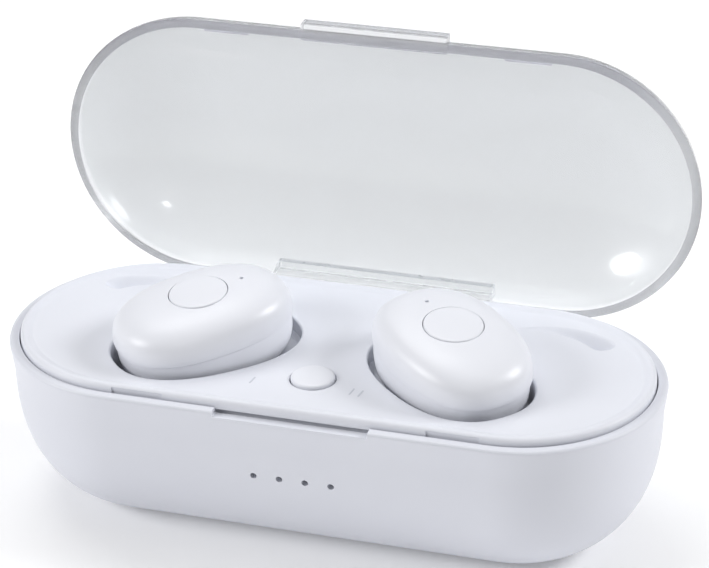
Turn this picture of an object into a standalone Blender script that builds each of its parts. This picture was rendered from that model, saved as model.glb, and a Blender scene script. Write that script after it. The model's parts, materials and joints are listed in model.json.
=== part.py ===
"""Wireless earbuds charging case, open, with both earbuds seated.

Frame: metres, +Z up, +X to the right, +Y to the rear. The origin is the centre
of the flat bottom of the case. The case is modelled with its lid open: the lid
is shaped in its closed position and turned back about the hinge pin.
"""
import math

import bmesh
import bpy
from mathutils import Matrix, Vector

MM = 0.001

# ---- Driving dimensions: case -------------------------------------------------
HALF_LENGTH = 40.0 * MM
HALF_WIDTH = 17.3 * MM
RIM_Z = 20.5 * MM
SIDE_DRAFT = 0.45 * MM
STRAIGHT_DEPTH = 3.5 * MM
HULL_EXPONENT = 2.45
HULL_DEPTH = 18.0 * MM
HULL_INSET = 16.6 * MM
SHELL_WALL = 1.5 * MM
RIM_LAND = 1.25 * MM
LEDGE_DEPTH = 1.6 * MM
LEDGE_WIDTH = 0.9 * MM
FIT_GAP = 0.15 * MM
END_SEGMENTS = 14

# ---- Driving dimensions: tray -------------------------------------------------
TRAY_INSET = RIM_LAND + FIT_GAP
TRAY_LIP_TOP = RIM_Z + 0.95 * MM
TRAY_FACE = RIM_Z + 0.6 * MM
TRAY_PLATE_BOTTOM = RIM_Z - 0.9 * MM
TRAY_LIP_WIDTH = 1.1 * MM
SNAP_NOTCH_X = (15.7 * MM, 21.9 * MM)
SNAP_NOTCH_DEPTH = 0.6 * MM
CUP_WALL = 0.9 * MM

# ---- Driving dimensions: lid and hinge ----------------------------------------
LID_HEIGHT = 9.8 * MM
LID_WALL = 1.15 * MM
LID_EXPONENT = 1.9
LID_OPEN_ANGLE = math.radians(90.0)
TAB_HALF_LENGTH = 9.05 * MM
TAB_REACH = 1.1 * MM
TAB_DROP = 0.6 * MM
HINGE_Y = HALF_WIDTH - 0.3 * MM
HINGE_Z = RIM_Z - 1.7 * MM
KNUCKLE_R = 1.2 * MM
KNUCKLE_HALF_LENGTH = 14.1 * MM
PAD_THICKNESS = 0.75 * MM
PAD_HEIGHT = 4.3 * MM
EAR_OUTER_X = 17.4 * MM
PIN_R = 0.5 * MM
PIN_HOLE_R = 0.58 * MM
SIDE_GAP = 0.3 * MM

# ---- Driving dimensions: earbuds ----------------------------------------------
BUD_X = 15.2 * MM
BUD_Y = -2.6 * MM
BUD_SEAM_Z = RIM_Z + 2.9 * MM
BUD_YAW = math.radians(42.0)
BUD_SLOPE_OUT = 0.075
BUD_SLOPE_FRONT = 0.10
BUD_HALF_LENGTH = 10.9 * MM
BUD_HALF_WIDTH = 7.85 * MM
BUD_PLAN_EXPONENT = 2.35
BUD_DOME = 4.6 * MM
BUD_DOME_EXPONENT = 3.2
BUD_DEPTH = 6.0 * MM
BUD_WALL = 1.0 * MM
BUD_BUTTON_R = 3.5 * MM
BUD_GAP = 0.5 * MM
NOZZLE_U = 5.6 * MM
NOZZLE_R = 2.4 * MM
NOZZLE_BORE_R = 1.5 * MM
NOZZLE_TILT = math.radians(14.0)
NOZZLE_START = 4.6 * MM
NOZZLE_LENGTH = 6.0 * MM
CONTACT_U = -6.0 * MM
CONTACT_V = 2.3 * MM
MIC_U = -5.6 * MM

# ---- Driving dimensions: inside the case --------------------------------------
PCB_TOP = RIM_Z - 8.6 * MM
PCB_THICKNESS = 1.0 * MM
LED_PITCH = 3.1 * MM
LED_Z = RIM_Z - 8.12 * MM
LED_HOLE_R = 0.4 * MM
CASE_BUTTON_Y = -7.85 * MM
CASE_BUTTON_R = 2.6 * MM
USB_Z = PCB_TOP - PCB_THICKNESS - 1.55 * MM
BATTERY_SIZE = (36.0 * MM, 15.0 * MM, 4.8 * MM)
BATTERY_BOTTOM = 2.3 * MM

COLOURS = {
    "white_shell": ((0.86, 0.87, 0.90), 0.28, 0.0),
    "clear_lid": ((0.80, 0.82, 0.84), 0.08, 0.0),
    "silicone": ((0.80, 0.81, 0.83), 0.55, 0.0),
    "steel": ((0.62, 0.62, 0.64), 0.30, 1.0),
    "gold": ((0.83, 0.62, 0.28), 0.25, 1.0),
    "board": ((0.05, 0.22, 0.12), 0.45, 0.0),
    "battery_foil": ((0.60, 0.61, 0.63), 0.35, 0.9),
    "foam": ((0.08, 0.08, 0.09), 0.90, 0.0),
    "wire_red": ((0.60, 0.03, 0.03), 0.45, 0.0),
    "wire_black": ((0.03, 0.03, 0.03), 0.45, 0.0),
    "led_lens": ((0.30, 0.31, 0.34), 0.25, 0.0),
    "magnet": ((0.50, 0.50, 0.52), 0.25, 1.0),
    "dark_part": ((0.06, 0.06, 0.07), 0.45, 0.0),
}


# ---- Scene helpers --------------------------------------------------------------
def clear_scene():
    for item in list(bpy.data.objects):
        bpy.data.objects.remove(item, do_unlink=True)


def material_for(node, kind):
    colour, roughness, metallic = COLOURS[kind]
    material = bpy.data.materials.new(node + "_material")
    material.use_nodes = True
    shader = material.node_tree.nodes["Principled BSDF"]
    shader.inputs["Base Color"].default_value = (*colour, 1.0)
    shader.inputs["Roughness"].default_value = roughness
    shader.inputs["Metallic"].default_value = metallic
    return material


def finish_object(name, bm, kind=None, matrix=None, sharp=35.0):
    """Turn a bmesh into an object; kind None makes a cutter that isn't built."""
    bmesh.ops.remove_doubles(bm, verts=bm.verts, dist=0.000001)
    bmesh.ops.recalc_face_normals(bm, faces=bm.faces)
    mesh = bpy.data.meshes.new(name)
    bm.to_mesh(mesh)
    bm.free()
    mesh.shade_smooth()
    mesh.set_sharp_from_angle(angle=math.radians(sharp))
    thing = bpy.data.objects.new(name, mesh)
    bpy.context.scene.collection.objects.link(thing)
    if matrix is not None:
        thing.matrix_world = matrix
    if kind is None:
        thing.hide_render = True
        thing.display_type = "WIRE"
    else:
        mesh.materials.append(material_for(name, kind))
    return thing


def boolean(target, tool, operation):
    modifier = target.modifiers.new(operation.lower() + "_" + tool.name, "BOOLEAN")
    modifier.operation = operation
    modifier.object = tool
    tool.hide_render = True
    tool.display_type = "WIRE"


def cut(target, tool):
    boolean(target, tool, "DIFFERENCE")


def join(target, tool):
    boolean(target, tool, "UNION")


# ---- Shape helpers ----------------------------------------------------------------
def stadium(half_length, half_width, segments=END_SEGMENTS):
    """Outline with straight sides and half-round ends, anticlockwise from the right."""
    straight = half_length - half_width
    points = []
    for end in (1, -1):
        for step in range(segments + 1):
            angle = math.pi * (step / segments - 0.5)
            points.append((end * (straight + half_width * math.cos(angle)),
                           end * half_width * math.sin(angle)))
    return points


def power(value, exponent):
    return math.copysign(abs(value) ** exponent, value)


def oval(half_length, half_width, segments, exponent=BUD_PLAN_EXPONENT):
    """Superellipse outline in the plane of an earbud's seam."""
    points = []
    for step in range(segments):
        angle = 2.0 * math.pi * step / segments
        points.append((half_length * power(math.cos(angle), 2.0 / exponent),
                       half_width * power(math.sin(angle), 2.0 / exponent)))
    return points


def loft(name, rings, kind=None, matrix=None, sharp=35.0):
    """Skin closed rings of equal count in order and cap both ends."""
    bm = bmesh.new()
    loops = [[bm.verts.new(point) for point in ring] for ring in rings]
    count = len(loops[0])
    for lower, upper in zip(loops, loops[1:]):
        for i in range(count):
            j = (i + 1) % count
            bm.faces.new((lower[i], lower[j], upper[j], upper[i]))
    bm.faces.new(list(reversed(loops[0])))
    bm.faces.new(loops[-1])
    return finish_object(name, bm, kind, matrix, sharp)


def ring_at(outline, z):
    return [(x, y, z) for x, y in outline]


def turned(name, profile, kind=None, matrix=None, segments=20, closed=False):
    """Turn a profile of (radius, height) pairs about the local Z axis.

    An open profile starts and ends on the axis; a closed one is a ring's section.
    """
    bm = bmesh.new()
    rings = []
    for radius, height in profile:
        if radius < 1e-7:
            rings.append([bm.verts.new((0.0, 0.0, height))])
            continue
        rings.append([bm.verts.new((radius * math.cos(2.0 * math.pi * k / segments),
                                    radius * math.sin(2.0 * math.pi * k / segments),
                                    height)) for k in range(segments)])
    pairs = list(zip(rings, rings[1:]))
    if closed:
        pairs.append((rings[-1], rings[0]))
    for first, second in pairs:
        for k in range(segments):
            m = (k + 1) % segments
            corners = [first[k % len(first)], first[m % len(first)],
                       second[m % len(second)], second[k % len(second)]]
            unique = list(dict.fromkeys(corners))
            if len(unique) > 2:
                bm.faces.new(unique)
    return finish_object(name, bm, kind, matrix)


def rod(name, radius, low, high, kind=None, matrix=None, segments=20):
    """Plain round bar along the local Z axis."""
    profile = [(0.0, low), (radius, low), (radius, high), (0.0, high)]
    return turned(name, profile, kind, matrix, segments)


def along_x(y, z):
    """Frame whose local Z axis lies along +X, through the given point."""
    return Matrix.Translation((0.0, y, z)) @ Matrix.Rotation(math.pi / 2.0, 4, "Y")


def along_y(x, z):
    """Frame whose local Z axis lies along +Y, through the given point."""
    return Matrix.Translation((x, 0.0, z)) @ Matrix.Rotation(-math.pi / 2.0, 4, "X")


def at(x, y, z=0.0):
    return Matrix.Translation((x, y, z))


def block(name, low, high, kind=None, matrix=None, round_edges=0.0):
    """Box between two corners, with its upright edges rounded if asked."""
    bm = bmesh.new()
    bmesh.ops.create_cube(bm, size=1.0)
    size = [b - a for a, b in zip(low, high)]
    middle = [(a + b) / 2.0 for a, b in zip(low, high)]
    bmesh.ops.scale(bm, vec=size, verts=bm.verts)
    bmesh.ops.translate(bm, vec=middle, verts=bm.verts)
    if round_edges > 0.0:
        upright = [e for e in bm.edges if abs((e.verts[0].co - e.verts[1].co).z) > size[2] / 2.0]
        bmesh.ops.bevel(bm, geom=upright, offset=round_edges, segments=3, affect="EDGES")
    return finish_object(name, bm, kind, matrix)


def prism(name, outline, low, high, kind=None, matrix=None):
    return loft(name, [ring_at(outline, low), ring_at(outline, high)], kind, matrix)


# ---- Case body ----------------------------------------------------------------------
def hull_inset(z):
    """How far the outside of the case has drawn in at height z."""
    below = RIM_Z - z
    if below <= STRAIGHT_DEPTH:
        return SIDE_DRAFT * below / STRAIGHT_DEPTH
    share = min((below - STRAIGHT_DEPTH) / HULL_DEPTH, 1.0)
    drawn = 1.0 - (1.0 - share ** HULL_EXPONENT) ** (1.0 / HULL_EXPONENT)
    return SIDE_DRAFT + HULL_INSET * drawn


def case_outline(inset):
    return stadium(HALF_LENGTH - inset, HALF_WIDTH - inset)


def build_base_shell():
    outer_heights = [0.0, 0.7, 1.8, 3.4, 5.6, 8.6, 12.4, 17.0, 20.5]
    rings = [ring_at(case_outline(hull_inset(h * MM)), h * MM) for h in outer_heights]
    ledge_z = RIM_Z - LEDGE_DEPTH
    rings.append(ring_at(case_outline(RIM_LAND), RIM_Z))
    rings.append(ring_at(case_outline(RIM_LAND), ledge_z))
    rings.append(ring_at(case_outline(RIM_LAND + LEDGE_WIDTH), ledge_z))
    for h in (17.0, 12.4, 8.6, 5.6, 3.4, 1.5):
        rings.append(ring_at(case_outline(hull_inset(h * MM) + SHELL_WALL), h * MM))
    shell = loft("base_shell", rings, "white_shell")

    for side in (-1, 1):
        ear = rod("ear_form_%d" % (side + 1), KNUCKLE_R, KNUCKLE_HALF_LENGTH + SIDE_GAP, EAR_OUTER_X,
                  matrix=along_x(HINGE_Y, HINGE_Z) @ Matrix.Scale(side, 4, (0, 0, 1)), segments=16)
        join(shell, ear)
    notch_half = KNUCKLE_HALF_LENGTH + SIDE_GAP
    cut(shell, block("hinge_notch", (-notch_half, HINGE_Y - KNUCKLE_R - 0.5 * MM, HINGE_Z - KNUCKLE_R - 0.35 * MM),
                     (notch_half, HALF_WIDTH + 3.0 * MM, RIM_Z + 3.0 * MM)))
    pin_reach = EAR_OUTER_X - 0.6 * MM
    cut(shell, rod("pin_hole", PIN_HOLE_R, -pin_reach, pin_reach, matrix=along_x(HINGE_Y, HINGE_Z), segments=12))

    tab_notch = TAB_HALF_LENGTH + 0.2 * MM
    cut(shell, block("thumb_notch", (-tab_notch, -HALF_WIDTH - 2.0 * MM, RIM_Z - TAB_DROP - 0.15 * MM),
                     (tab_notch, -HALF_WIDTH + RIM_LAND + 0.05 * MM, RIM_Z + 2.0 * MM)))
    for index in range(4):
        x = (index - 1.5) * LED_PITCH
        cut(shell, rod("led_hole_%d" % index, LED_HOLE_R, -HALF_WIDTH - 2.0 * MM, -HALF_WIDTH + 3.0 * MM,
                       matrix=along_y(x, LED_Z), segments=12))
    cut(shell, block("usb_opening", (-4.1 * MM, 12.0 * MM, USB_Z - 1.55 * MM),
                     (4.1 * MM, HALF_WIDTH + 2.0 * MM, USB_Z + 1.5 * MM)))
    return shell


# ---- Earbud seat: shared by the tray's pockets and the earbuds --------------------------
def seat_frame(side):
    """Frame of a seated earbud: U along its oval, W out of its face, origin in its seam."""
    out = Vector((side * BUD_SLOPE_OUT, -BUD_SLOPE_FRONT, 1.0)).normalized()
    length = Vector((side * math.cos(BUD_YAW), -math.sin(BUD_YAW), 0.0))
    length = (length - out * length.dot(out)).normalized()
    width = out.cross(length)
    frame = Matrix((length, width, out)).transposed().to_4x4()
    return Matrix.Translation((side * BUD_X, BUD_Y, BUD_SEAM_Z)) @ frame


def nozzle_frame():
    """Frame of the nozzle inside an earbud: local Z runs down the bore."""
    turn = Matrix.Rotation(math.pi + NOZZLE_TILT, 4, "Y")
    return at(NOZZLE_U, 0.0, -NOZZLE_START) @ turn


def seat_outline(extra, segments=28):
    return oval(BUD_HALF_LENGTH + extra, BUD_HALF_WIDTH + extra, segments)


def bud_depth_scale(depth):
    """Share of the seam outline that is left at a depth below the seam."""
    share = min(depth / BUD_DEPTH, 1.0)
    return 0.975 * (1.0 - share ** 3.4) ** (1.0 / 3.4) if share < 1.0 else 0.0


# ---- Tray ---------------------------------------------------------------------------------
POCKET_FLOOR = BUD_DEPTH + 0.35 * MM
WELL_R = 6.7 * MM
WELL_U = 4.5 * MM
WELL_FLOOR = 13.2 * MM
SCOOP_RADIUS = 12.1 * MM
SCOOP_HALF_WIDTH = 1.5 * MM
SCOOP_CENTRE_X = HALF_LENGTH - HALF_WIDTH
SCOOP_START = math.radians(100.0)
SCOOP_END = math.radians(42.0)
SCOOP_FLOOR = RIM_Z - 1.5 * MM
BOSSES = ((12.8 * MM, 10.9 * MM), (8.3 * MM, -12.2 * MM))


def scoop_outline(side, extra, steps=8, end_steps=5):
    """Curved slot outline that follows the rounded end of the case."""
    inner = SCOOP_RADIUS - SCOOP_HALF_WIDTH - extra
    outer = SCOOP_RADIUS + SCOOP_HALF_WIDTH + extra
    half = SCOOP_HALF_WIDTH + extra
    points = []
    for step in range(steps + 1):
        angle = SCOOP_START + (SCOOP_END - SCOOP_START) * step / steps
        points.append((outer * math.cos(angle), outer * math.sin(angle)))
    for step in range(1, end_steps):
        turn = SCOOP_END - math.pi * step / end_steps
        points.append((SCOOP_RADIUS * math.cos(SCOOP_END) + half * math.cos(turn),
                       SCOOP_RADIUS * math.sin(SCOOP_END) + half * math.sin(turn)))
    for step in range(steps + 1):
        angle = SCOOP_END + (SCOOP_START - SCOOP_END) * step / steps
        points.append((inner * math.cos(angle), inner * math.sin(angle)))
    for step in range(1, end_steps):
        turn = SCOOP_START + math.pi - math.pi * step / end_steps
        points.append((SCOOP_RADIUS * math.cos(SCOOP_START) + half * math.cos(turn),
                       SCOOP_RADIUS * math.sin(SCOOP_START) + half * math.sin(turn)))
    return [(side * (SCOOP_CENTRE_X + x), y) for x, y in points]


def build_tray():
    skirt_bottom = RIM_Z - LEDGE_DEPTH + FIT_GAP
    edge = TRAY_INSET
    lip_in = TRAY_INSET + TRAY_LIP_WIDTH
    rings = [
        ring_at(case_outline(lip_in + 1.0 * MM), TRAY_PLATE_BOTTOM),
        ring_at(case_outline(lip_in), skirt_bottom),
        ring_at(case_outline(edge), skirt_bottom),
        ring_at(case_outline(edge), TRAY_LIP_TOP - 0.35 * MM),
        ring_at(case_outline(edge + 0.1 * MM), TRAY_LIP_TOP - 0.1 * MM),
        ring_at(case_outline(edge + 0.4 * MM), TRAY_LIP_TOP),
        ring_at(case_outline(edge + 0.8 * MM), TRAY_LIP_TOP - 0.1 * MM),
        ring_at(case_outline(lip_in + 0.6 * MM), TRAY_FACE),
    ]
    tray = loft("tray", rings, "white_shell")

    for side, word in ((-1, "left"), (1, "right")):
        seat = seat_frame(side)
        cup = prism("cup_form_" + word, seat_outline(BUD_GAP + CUP_WALL), -POCKET_FLOOR - CUP_WALL,
                    -1.0 * MM, matrix=seat)
        cut(cup, block("cup_trim_" + word, (-HALF_LENGTH, -HALF_WIDTH, RIM_Z - 0.3 * MM),
                       (HALF_LENGTH, HALF_WIDTH, RIM_Z + 6.0 * MM)))
        join(tray, cup)
        well_wall = rod("well_form_" + word, WELL_R + CUP_WALL, -WELL_FLOOR - CUP_WALL, -POCKET_FLOOR,
                        matrix=seat @ at(WELL_U, 0.0), segments=24)
        join(tray, well_wall)
        pad = prism("scoop_pad_" + word, scoop_outline(side, 0.7 * MM), SCOOP_FLOOR - 0.8 * MM,
                    TRAY_PLATE_BOTTOM + 0.4 * MM)
        join(tray, pad)
        for number, (x, y) in enumerate(BOSSES):
            boss = rod("boss_form_%s_%d" % (word, number), 1.5 * MM, PCB_TOP + FIT_GAP,
                       TRAY_PLATE_BOTTOM + 0.4 * MM, matrix=at(side * x, y), segments=12)
            join(tray, boss)

    for side, word in ((-1, "left"), (1, "right")):
        seat = seat_frame(side)
        cut(tray, prism("pocket_cut_" + word, seat_outline(BUD_GAP), -POCKET_FLOOR, 6.0 * MM, matrix=seat))
        cut(tray, rod("well_cut_" + word, WELL_R, -WELL_FLOOR, -POCKET_FLOOR + 1.0 * MM,
                      matrix=seat @ at(WELL_U, 0.0), segments=24))
        cut(tray, prism("scoop_cut_" + word, scoop_outline(side, 0.0), SCOOP_FLOOR, RIM_Z + 3.0 * MM))
        for number, (x, y) in enumerate(BOSSES):
            cut(tray, rod("boss_hole_%s_%d" % (word, number), 0.55 * MM, PCB_TOP - 1.0 * MM,
                          PCB_TOP + 4.0 * MM, matrix=at(side * x, y), segments=10))
        for number, v in enumerate((-CONTACT_V, CONTACT_V)):
            place = seat @ Vector((CONTACT_U, v, -BUD_DEPTH))
            cut(tray, rod("pogo_hole_%s_%d" % (word, number), 0.95 * MM, -7.0 * MM, 1.2 * MM,
                          matrix=at(*place), segments=12))
        cut(tray, rod("magnet_seat_" + word, 1.15 * MM, -POCKET_FLOOR - 3.0 * MM, -POCKET_FLOOR - 0.3 * MM,
                      matrix=seat @ at(-9.1 * MM, 0.0), segments=14))
        notch_low = min(side * SNAP_NOTCH_X[0], side * SNAP_NOTCH_X[1])
        notch_high = max(side * SNAP_NOTCH_X[0], side * SNAP_NOTCH_X[1])
        front = -HALF_WIDTH + TRAY_INSET
        cut(tray, block("snap_notch_" + word, (notch_low, front - 1.0 * MM, RIM_Z + 0.05 * MM),
                        (notch_high, front + SNAP_NOTCH_DEPTH, RIM_Z + 0.6 * MM)))
    cut(tray, rod("case_button_hole", CASE_BUTTON_R + FIT_GAP, RIM_Z - 3.0 * MM, RIM_Z + 3.0 * MM,
                  matrix=at(0.0, CASE_BUTTON_Y), segments=24))
    relief_half = EAR_OUTER_X + SIDE_GAP
    cut(tray, block("hinge_relief", (-relief_half, HINGE_Y - KNUCKLE_R - 0.3 * MM, RIM_Z - 4.0 * MM),
                    (relief_half, HALF_WIDTH + 2.0 * MM, HINGE_Z + KNUCKLE_R + 0.2 * MM)))
    return tray


# ---- Lid, modelled closed and turned open ------------------------------------------------
def lid_inset(height, half_width, total):
    share = min(height / total, 1.0)
    return half_width * (1.0 - (1.0 - share ** LID_EXPONENT) ** (1.0 / LID_EXPONENT))


def lid_rings(inset, height, base_z, shares):
    """Dome rings for one face of the lid; shares run from the edge (0) to the crown (1)."""
    half_width = HALF_WIDTH - inset
    rings = []
    for share in shares:
        drawn = lid_inset(share * height, half_width, height)
        outline = stadium(HALF_LENGTH - inset - drawn, half_width - drawn)
        rings.append(ring_at(outline, base_z + share * height))
    return rings


def open_lid_matrix():
    hinge = Vector((0.0, HINGE_Y, HINGE_Z))
    return (Matrix.Translation(hinge) @ Matrix.Rotation(-LID_OPEN_ANGLE, 4, "X")
            @ Matrix.Translation(-hinge))


def build_lid():
    turn = open_lid_matrix()
    low = RIM_Z + FIT_GAP
    outer_shares = (0.0, 0.16, 0.34, 0.52, 0.69, 0.83, 0.93, 0.985, 0.998)
    inner_shares = (0.998, 0.985, 0.93, 0.83, 0.69, 0.52, 0.34, 0.16)
    inner_height = LID_HEIGHT - LID_WALL
    rings = list(reversed(lid_rings(0.0, LID_HEIGHT, low, outer_shares)))
    rings.append(ring_at(case_outline(LID_WALL), low))
    rings += reversed(lid_rings(LID_WALL, inner_height, low, inner_shares))
    lid = loft("lid_shell", rings, "clear_lid", matrix=turn)

    front = -HALF_WIDTH
    tab = block("tab_form", (-TAB_HALF_LENGTH, front - TAB_REACH, low - TAB_DROP),
                (TAB_HALF_LENGTH, front + LID_WALL - 0.02 * MM, low + 1.3 * MM), matrix=turn)
    join(lid, tab)
    for side in (-1, 1):
        x_low = min(side * (SNAP_NOTCH_X[0] + 0.2 * MM), side * (SNAP_NOTCH_X[1] - 0.3 * MM))
        x_high = max(side * (SNAP_NOTCH_X[0] + 0.2 * MM), side * (SNAP_NOTCH_X[1] - 0.3 * MM))
        rib = block("rib_form_%d" % (side + 1), (x_low, front + LID_WALL - 0.2 * MM, low + 0.1 * MM),
                    (x_high, front + LID_WALL + 0.35 * MM, low + 0.35 * MM), matrix=turn)
        join(lid, rib)
    web = block("knuckle_web", (-KNUCKLE_HALF_LENGTH, HALF_WIDTH - LID_WALL + 0.02 * MM, HINGE_Z),
                (KNUCKLE_HALF_LENGTH, HALF_WIDTH + PAD_THICKNESS, low + PAD_HEIGHT), matrix=turn)
    join(lid, web)
    knuckle = rod("knuckle_form", KNUCKLE_R, -KNUCKLE_HALF_LENGTH, KNUCKLE_HALF_LENGTH,
                  matrix=turn @ along_x(HINGE_Y, HINGE_Z), segments=16)
    join(lid, knuckle)
    bore = rod("knuckle_bore", PIN_HOLE_R, -KNUCKLE_HALF_LENGTH - MM, KNUCKLE_HALF_LENGTH + MM,
               matrix=turn @ along_x(HINGE_Y, HINGE_Z), segments=12)
    cut(lid, bore)
    hinge = Matrix.Translation((0.0, HINGE_Y, HINGE_Z))
    lid.data.transform(hinge.inverted())
    lid.matrix_world = turn @ hinge
    return lid


def build_hinge_pin():
    reach = EAR_OUTER_X - 0.8 * MM
    return rod("hinge_pin", PIN_R, -reach, reach, "steel", along_x(HINGE_Y, HINGE_Z), 12)


# ---- Electronics in the case --------------------------------------------------------------
def build_case_board():
    half_narrow = 9.8 * MM
    half_wide = 15.2 * MM
    front = -14.4 * MM
    step_y = 3.2 * MM
    rear = 13.6 * MM
    outline = [(-half_narrow, front), (half_narrow, front), (half_narrow, step_y), (half_wide, step_y),
               (half_wide, rear), (-half_wide, rear), (-half_wide, step_y), (-half_narrow, step_y)]
    board = prism("case_pcb", outline, PCB_TOP - PCB_THICKNESS, PCB_TOP, "board")
    for side in (-1, 1):
        for number, (x, y) in enumerate(BOSSES):
            cut(board, rod("board_hole_%d_%d" % (side + 1, number), 0.7 * MM, PCB_TOP - 3.0 * MM,
                           PCB_TOP + MM, matrix=at(side * x, y), segments=12))
    return board


def build_board_screws():
    names = (("left", -1), ("right", 1))
    head_z = PCB_TOP - PCB_THICKNESS - 0.15 * MM
    profile = [(0.0, head_z - 0.7 * MM), (0.9 * MM, head_z - 0.7 * MM), (1.15 * MM, head_z - 0.4 * MM),
               (1.15 * MM, head_z), (0.42 * MM, head_z), (0.42 * MM, PCB_TOP + 3.0 * MM),
               (0.0, PCB_TOP + 3.4 * MM)]
    for word, side in names:
        for place, (x, y) in zip(("rear", "front"), BOSSES):
            turned("pcb_screw_%s_%s" % (word, place), profile, "steel", at(side * x, y), 12)


def build_leds():
    wall_inner = -HALF_WIDTH + hull_inset(LED_Z) + SHELL_WALL
    for index in range(4):
        x = (index - 1.5) * LED_PITCH
        block("led_%d" % (index + 1), (x - 0.8 * MM, wall_inner + 0.25 * MM, PCB_TOP + 0.12 * MM),
              (x + 0.8 * MM, wall_inner + 1.5 * MM, PCB_TOP + 0.95 * MM), "led_lens")


def build_usb_port():
    rear = HALF_WIDTH - hull_inset(USB_Z) - 0.35 * MM
    low = (-3.75 * MM, rear - 5.4 * MM, USB_Z - 1.25 * MM)
    high = (3.75 * MM, rear, USB_Z + 1.25 * MM)
    port = block("usb_port", low, high, "steel")
    cut(port, block("usb_mouth", (low[0] + 0.35 * MM, low[1] + 1.0 * MM, low[2] + 0.35 * MM),
                    (high[0] - 0.35 * MM, high[1] + MM, high[2] - 0.35 * MM)))
    tongue = block("usb_tongue_form", (-1.9 * MM, low[1] + 0.8 * MM, USB_Z - 0.05 * MM),
                   (1.9 * MM, high[1] - 1.2 * MM, USB_Z + 0.5 * MM))
    join(port, tongue)
    return port


def build_battery():
    sx, sy, sz = BATTERY_SIZE
    low = (-sx / 2.0, -sy / 2.0, BATTERY_BOTTOM)
    high = (sx / 2.0, sy / 2.0, BATTERY_BOTTOM + sz)
    block("case_battery", low, high, "battery_foil", round_edges=1.4 * MM)
    block("battery_tape", (low[0] + 3.0 * MM, low[1] + 2.0 * MM, 1.65 * MM),
          (high[0] - 3.0 * MM, high[1] - 2.0 * MM, BATTERY_BOTTOM - 0.15 * MM), "foam")
    board_edge = PCB_TOP - PCB_THICKNESS - 0.3 * MM
    for word, y in (("red", 4.2 * MM), ("black", 5.6 * MM)):
        points = [(high[0] + 0.3 * MM, y, BATTERY_BOTTOM + 2.6 * MM),
                  (high[0] + 1.3 * MM, y + 0.2 * MM, BATTERY_BOTTOM + 3.2 * MM),
                  (high[0] + 1.2 * MM, y + 1.2 * MM, BATTERY_BOTTOM + 5.4 * MM),
                  (high[0] - 1.6 * MM, y + 2.2 * MM, BATTERY_BOTTOM + 6.7 * MM),
                  (high[0] - 4.4 * MM, y + 2.3 * MM, board_edge - 1.1 * MM),
                  (high[0] - 5.4 * MM, y + 2.3 * MM, board_edge)]
        wire("battery_lead_" + word, points, 0.4 * MM, "wire_" + word)


def smooth_path(points, per_span=4):
    """Catmull-Rom curve through the given points."""
    vectors = [Vector(p) for p in points]
    padded = [vectors[0]] + vectors + [vectors[-1]]
    path = []
    for i in range(1, len(padded) - 2):
        a, b, c, d = padded[i - 1:i + 3]
        for step in range(per_span):
            t = step / per_span
            path.append(0.5 * ((2.0 * b) + (c - a) * t + (2.0 * a - 5.0 * b + 4.0 * c - d) * t ** 2
                               + (3.0 * b - a - 3.0 * c + d) * t ** 3))
    path.append(vectors[-1])
    return path


def wire(name, points, radius, kind):
    """Round insulated wire as a bevelled curve, turned into a mesh."""
    curve = bpy.data.curves.new(name, "CURVE")
    curve.dimensions = "3D"
    curve.bevel_depth = radius
    curve.bevel_resolution = 1
    curve.use_fill_caps = True
    path = smooth_path(points)
    spline = curve.splines.new("POLY")
    spline.points.add(len(path) - 1)
    for point, place in zip(spline.points, path):
        point.co = (*place, 1.0)
    curve.materials.append(material_for(name, kind))
    thing = bpy.data.objects.new(name, curve)
    bpy.context.scene.collection.objects.link(thing)
    return thing


def build_case_button():
    stem_end = PCB_TOP + 1.75 * MM
    top = TRAY_FACE + 0.55 * MM
    profile = [(0.0, stem_end), (1.0 * MM, stem_end), (1.0 * MM, RIM_Z - 2.2 * MM),
               (3.3 * MM, RIM_Z - 2.2 * MM), (3.3 * MM, RIM_Z - 1.5 * MM),
               (CASE_BUTTON_R, RIM_Z - 1.5 * MM), (CASE_BUTTON_R, top - 0.5 * MM),
               (CASE_BUTTON_R - 0.15 * MM, top - 0.25 * MM), (CASE_BUTTON_R * 0.6, top - 0.04 * MM), (0.0, top)]
    turned("case_button", profile, "white_shell", at(0.0, CASE_BUTTON_Y), 24)
    block("case_switch", (-1.8 * MM, CASE_BUTTON_Y - 1.8 * MM, PCB_TOP + 0.1 * MM),
          (1.8 * MM, CASE_BUTTON_Y + 1.8 * MM, PCB_TOP + 1.2 * MM), "dark_part")


# ---- Charging pins and magnets in the tray --------------------------------------------------
def build_pogo_pins():
    for word, side in (("left", -1), ("right", 1)):
        seat = seat_frame(side)
        for letter, v in (("a", -CONTACT_V), ("b", CONTACT_V)):
            place = seat @ Vector((CONTACT_U, v, -BUD_DEPTH - 0.3 * MM))
            tip = place.z
            barrel_top = tip - 1.7 * MM
            barrel_low = PCB_TOP + 0.1 * MM
            barrel = [(0.0, barrel_low), (0.8 * MM, barrel_low), (0.8 * MM, barrel_top), (0.55 * MM, barrel_top),
                      (0.55 * MM, barrel_low + 1.0 * MM), (0.0, barrel_low + 1.0 * MM)]
            turned("pogo_barrel_%s_%s" % (word, letter), barrel, "gold", at(place.x, place.y), 12)
            foot = barrel_low + 2.0 * MM
            plunger = [(0.0, foot), (0.48 * MM, foot), (0.48 * MM, tip - 0.3 * MM), (0.3 * MM, tip - 0.05 * MM),
                       (0.0, tip)]
            turned("pogo_plunger_%s_%s" % (word, letter), plunger, "gold", at(place.x, place.y), 12)
        rod("pocket_magnet_" + word, 1.0 * MM, -POCKET_FLOOR - 1.8 * MM, -POCKET_FLOOR - 0.45 * MM,
            "magnet", seat @ at(-9.1 * MM, 0.0), 14)


# ---- Earbuds -----------------------------------------------------------------------------------
DOME_SHARES = (1.0, 0.97, 0.88, 0.72, 0.5, 0.22)


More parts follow.
